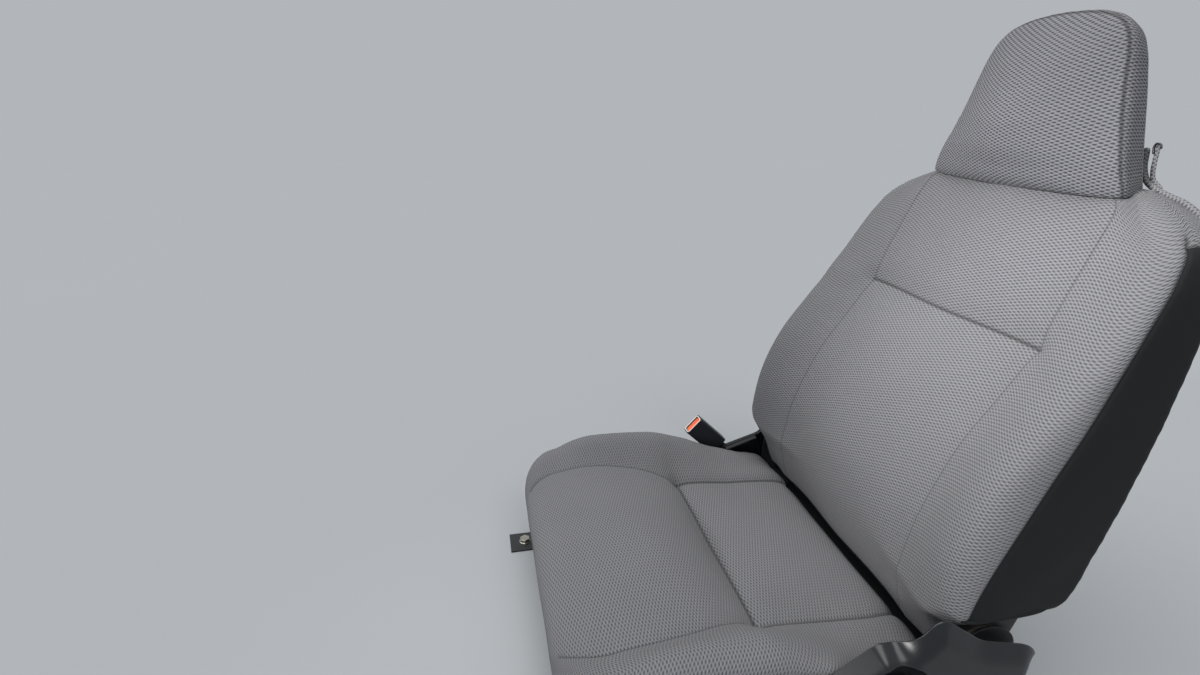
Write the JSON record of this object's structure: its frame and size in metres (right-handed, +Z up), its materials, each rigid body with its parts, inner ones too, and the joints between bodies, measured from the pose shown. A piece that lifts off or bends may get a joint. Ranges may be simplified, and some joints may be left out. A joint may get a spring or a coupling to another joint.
{
  "type": "car front seat",
  "caption": "Front seat of a small car with a high one-piece backrest and headrest, woven grey cover, slide rails, recliner, side shields and belt buckle.",
  "frame": {"origin": "centre of the four floor bolts, on the floor plane", "axes": "+Z up, the seat faces -Y, +X is the outboard (door) side with the recliner lever, -X the inboard side with the belt buckle"},
  "size_m": [0.5572, 0.683, 0.783],
  "materials": {
    "steel_rail": "zinc-plated",
    "black_steel": "satin black paint",
    "seat_fabric": "coarse grey woven cloth",
    "black_plastic": "grained black",
    "spring_steel": "oiled",
    "buckle_plastic": "fine grain",
    "buckle_red": "orange red"
  },
  "bodies": {
    "floor_rails": {"foot_front_outboard": "black_steel", "foot_front_inboard": "black_steel", "foot_rear_outboard": "black_steel", "foot_rear_inboard": "black_steel", "lower_rail_outboard": "steel_rail", "lower_rail_inboard": "steel_rail"},
    "seat_base": {"upper_rail_outboard": "steel_rail", "upper_rail_inboard": "steel_rail", "slide_bar": "steel_rail", "recliner_bracket_outboard": "black_steel", "recliner_bracket_inboard": "black_steel", "seat_pan": "black_steel", "rear_cross_tube": "black_steel", "slide_latch_outboard": "black_steel", "slide_latch_inboard": "black_steel", "buckle_anchor": "black_steel", "cushion_springs": "spring_steel", "cushion_pad": "seat_fabric", "side_shield_outboard": "black_plastic", "side_shield_inboard": "black_plastic", "recliner_lever": "black_plastic", "buckle_strap": "black_plastic", "buckle_body": "buckle_plastic", "buckle_button": "buckle_red"},
    "backrest": {"back_arm_outboard": "black_steel", "back_arm_inboard": "black_steel", "recliner_rod": "black_steel", "backrest_tube": "black_steel", "recliner_disc_outboard": "steel_rail", "recliner_disc_inboard": "steel_rail", "back_pad": "seat_fabric", "head_pad": "seat_fabric", "shoulder_welt_outboard": "seat_fabric"}
  },
  "joints": [
    {"name": "seat_slide", "type": "slide", "parent": "floor_rails", "child": "seat_base", "axis": [0, -1, 0], "range_m": [-0.055, 0.09]},
    {"name": "backrest_recline", "type": "hinge", "parent": "seat_base", "child": "backrest", "pos_m": [0, 0.18, 0.118], "axis": [1, 0, 0], "range_deg": [-40, 26]}
  ]
}
